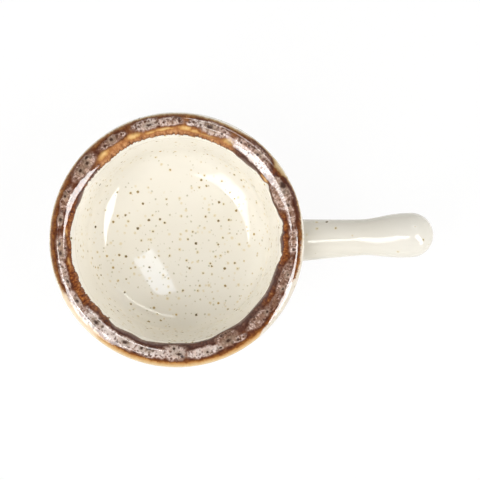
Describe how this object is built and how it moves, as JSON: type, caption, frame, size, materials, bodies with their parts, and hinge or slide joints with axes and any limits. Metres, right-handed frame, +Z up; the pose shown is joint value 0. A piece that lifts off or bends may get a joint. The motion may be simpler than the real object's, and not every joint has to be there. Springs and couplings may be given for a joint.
{
  "type": "handled soup bowl",
  "caption": "Round glazed stoneware soup bowl with a rolled, brown-glazed lip, a hollow stick handle rising from its wall, and a foot ring to stand on.",
  "frame": {"origin": "centre of the foot ring's standing face, on the bowl's own axis", "axes": "+Z up along the bowl's axis, +X along the handle away from the bowl, +Y to the left of the handle seen from the bowl"},
  "size_m": [0.2115, 0.14, 0.064],
  "materials": {
    "stoneware": "bare fired stoneware, matt",
    "joining_slip": "fired slip, matt",
    "cream_glaze": "glossy speckled cream glaze",
    "brown_glaze": "glossy mottled brown reactive glaze"
  },
  "bodies": {
    "root": {"bowl_body": "stoneware", "handle": "stoneware", "handle_slip": "joining_slip", "inside_glaze": "cream_glaze", "outside_glaze": "cream_glaze", "recess_glaze": "cream_glaze", "handle_glaze": "cream_glaze", "rim_glaze": "brown_glaze"}
  },
  "joints": []
}
